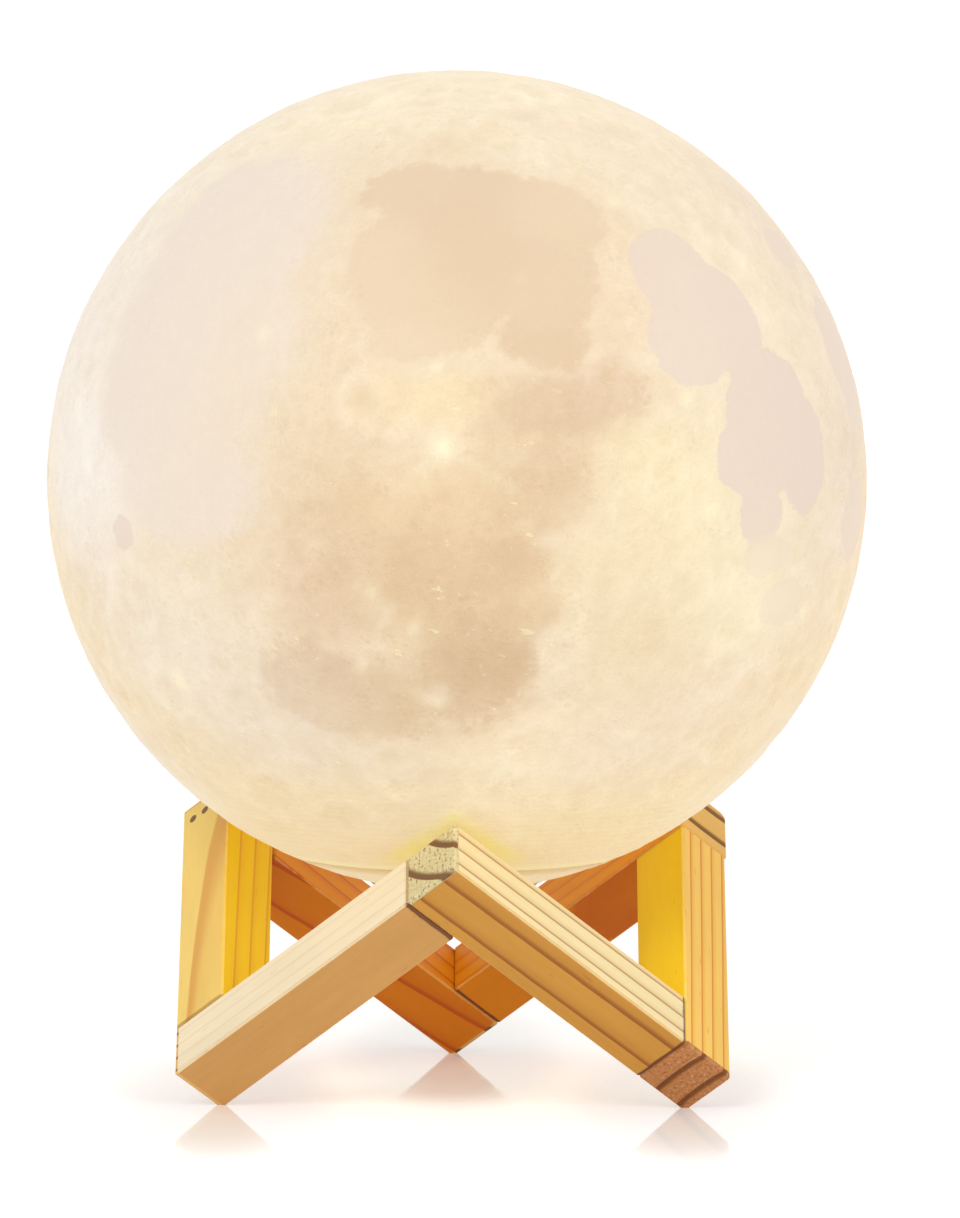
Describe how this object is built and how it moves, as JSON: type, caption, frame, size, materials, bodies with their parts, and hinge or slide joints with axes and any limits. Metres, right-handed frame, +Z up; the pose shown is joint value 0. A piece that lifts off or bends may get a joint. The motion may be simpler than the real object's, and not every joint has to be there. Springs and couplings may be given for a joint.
{
  "type": "moon lamp",
  "caption": "Printed translucent moon globe lit from inside, resting on a zigzag ring of square wooden bars.",
  "frame": {"origin": "on the surface it stands on, under the middle of the globe", "axes": "+Z up through the globe's middle; -Y is the front, towards the peak that faces the viewer; +X to the viewer's right"},
  "size_m": [0.15, 0.15, 0.1868],
  "materials": {
    "pine": "sanded pine, thin clear wax",
    "steel_brad": "dull driven brad",
    "printed_globe": "translucent print, fine layers",
    "white_plastic": "fine moulded texture",
    "button_plastic": "gloss",
    "bright_metal": "bright plated",
    "white_board": "white lacquered board",
    "emitter": "phosphor window",
    "screw_steel": "plated steel",
    "green_board": "lacquered circuit board",
    "black_plastic": "moulded",
    "clear_plastic": "clear light pipe",
    "battery_foil": "silver foil pouch",
    "foam": "soft foam tape",
    "red_lead": "silicone lead",
    "black_lead": "silicone lead",
    "white_lead": "silicone lead"
  },
  "bodies": {
    "stand": {"stand_bar_front_left": "pine", "stand_bar_front_right": "pine", "stand_bar_right": "pine", "stand_bar_back_right": "pine", "stand_bar_back_left": "pine", "stand_bar_left": "pine", "stand_brads": "steel_brad"},
    "globe": {"moon_shell": "printed_globe", "bottom_cap": "printed_globe", "base_housing": "white_plastic", "touch_ring": "bright_metal", "ring_nut": "white_plastic", "base_lid": "white_plastic", "light_board": "white_board", "light_emitters": "emitter", "lid_screws": "screw_steel", "main_board": "green_board", "board_parts": "black_plastic", "charge_socket": "screw_steel", "socket_tongue": "black_plastic", "indicator_lens": "clear_plastic", "switch_body": "black_plastic", "battery_cell": "battery_foil", "battery_pad": "foam", "battery_lead_red": "red_lead", "battery_lead_black": "black_lead", "light_leads": "white_lead", "touch_lead": "white_lead"},
    "button": {"push_button": "button_plastic", "switch_plunger": "black_plastic"}
  },
  "joints": [
    {"name": "globe_lift", "type": "slide", "parent": "stand", "child": "globe", "axis": [0, 0, 1], "range_m": [0, 0.12]},
    {"name": "button_press", "type": "slide", "parent": "globe", "child": "button", "axis": [0, 0, 1], "range_m": [0, 0.0008], "stiffness_N_per_m": 2000}
  ]
}
